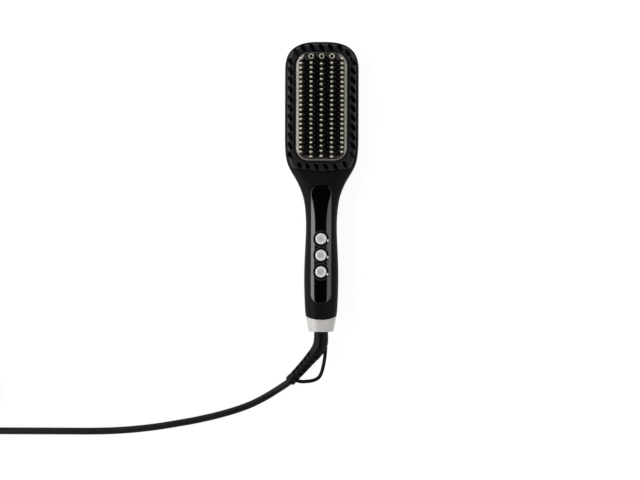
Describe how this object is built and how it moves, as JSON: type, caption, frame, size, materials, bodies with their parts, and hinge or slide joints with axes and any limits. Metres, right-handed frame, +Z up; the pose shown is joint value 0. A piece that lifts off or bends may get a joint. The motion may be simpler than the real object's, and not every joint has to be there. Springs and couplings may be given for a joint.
{
  "type": "steam hair straightener brush",
  "caption": "Corded steam hot brush: paddle head with metal comb rows and bristles in a ribbed guard, slim handle with push buttons, pull-out water tank and swivel cord.",
  "frame": {"origin": "below the middle of the brush, on the surface that it lies on with its teeth up", "axes": "+Y from the cord end to the head's top, +Z up out of the heating plate, +X to the right seen from above"},
  "size_m": [0.4696, 0.3949, 0.0369],
  "materials": {
    "case_black": "fine matt moulded texture",
    "gloss_black": "piano gloss",
    "guard_charcoal": "satin heat-proof plastic",
    "champagne_metal": "satin anodised",
    "champagne_satin": "satin metallic paint",
    "button_white": "silver-white satin",
    "window_white": "translucent",
    "bristle_black": "nylon",
    "seal_rubber": "matt",
    "boot_rubber": "satin soft PVC",
    "cord_black": "satin PVC sheath",
    "silicone": "translucent silicone",
    "circuit_board": "solder mask",
    "component_black": "moulded",
    "ceramic": "sintered ceramic",
    "steel": "zinc plated",
    "chamber_metal": "cast",
    "insulation": "glass-fibre felt",
    "pump_plastic": "moulded",
    "lead_sleeve": "braided sleeve",
    "tank_smoke": "dark translucent",
    "contact_brass": "plain",
    "pin_nickel": "nickel plated"
  },
  "bodies": {
    "case": {"front_shell": "case_black", "rear_shell": "case_black", "control_panel": "gloss_black", "led_windows": "window_white", "dome_plus": "silicone", "dome_steam": "silicone", "dome_power": "silicone", "control_board": "circuit_board", "status_leds": "window_white", "temperature_display": "gloss_black", "power_board": "circuit_board", "board_parts": "component_black", "head_frame": "guard_charcoal", "plate_seal": "seal_rubber", "heating_plate": "champagne_metal", "heated_combs": "champagne_metal", "bristle_strips": "bristle_black", "plate_carrier": "component_black", "ceramic_heaters": "ceramic", "heater_clamps": "steel", "steam_chamber": "chamber_metal", "insulation_pad": "insulation", "thermistor": "component_black", "thermal_fuse": "steel", "steam_pump": "pump_plastic", "suction_tube": "silicone", "delivery_tube": "silicone", "heater_leads": "lead_sleeve", "tank_nipple": "pump_plastic", "nipple_o_ring": "seal_rubber", "case_screws": "steel", "end_cap": "champagne_satin", "swivel_socket": "component_black", "contact_springs": "contact_brass"},
    "plus_button": {"button_plus": "button_white"},
    "steam_button": {"button_steam": "button_white"},
    "power_button": {"button_power": "button_white"},
    "tank": {"water_tank": "tank_smoke"},
    "filler_plug": {"tank_filler_plug": "seal_rubber"},
    "cord_swivel": {"swivel_spindle": "component_black", "contact_rings": "contact_brass", "cord_boot": "boot_rubber", "hang_loop": "boot_rubber", "cord": "cord_black", "cord_coil": "cord_black", "cord_tail": "cord_black", "plug_body": "boot_rubber", "plug_pins": "pin_nickel"}
  },
  "joints": [
    {"name": "plus_press", "type": "slide", "parent": "case", "child": "plus_button", "axis": [0, 0, -1], "range_m": [0, 0.0008], "stiffness_N_per_m": 2500, "deforming": ["dome_plus"]},
    {"name": "steam_press", "type": "slide", "parent": "case", "child": "steam_button", "axis": [0, 0, -1], "range_m": [0, 0.0008], "stiffness_N_per_m": 2500, "deforming": ["dome_steam"]},
    {"name": "power_press", "type": "slide", "parent": "case", "child": "power_button", "axis": [0, 0, -1], "range_m": [0, 0.0008], "stiffness_N_per_m": 2500, "deforming": ["dome_power"]},
    {"name": "tank_slide", "type": "slide", "parent": "case", "child": "tank", "axis": [0, 1, 0], "range_m": [0, 0.115]},
    {"name": "plug_pull", "type": "slide", "parent": "tank", "child": "filler_plug", "axis": [0, 1, 0], "range_m": [0, 0.008]},
    {"name": "cord_turn", "type": "hinge", "parent": "case", "child": "cord_swivel", "pos_m": [0, -0.1335, 0.0158], "axis": [0, 1, 0], "continuous": true}
  ]
}
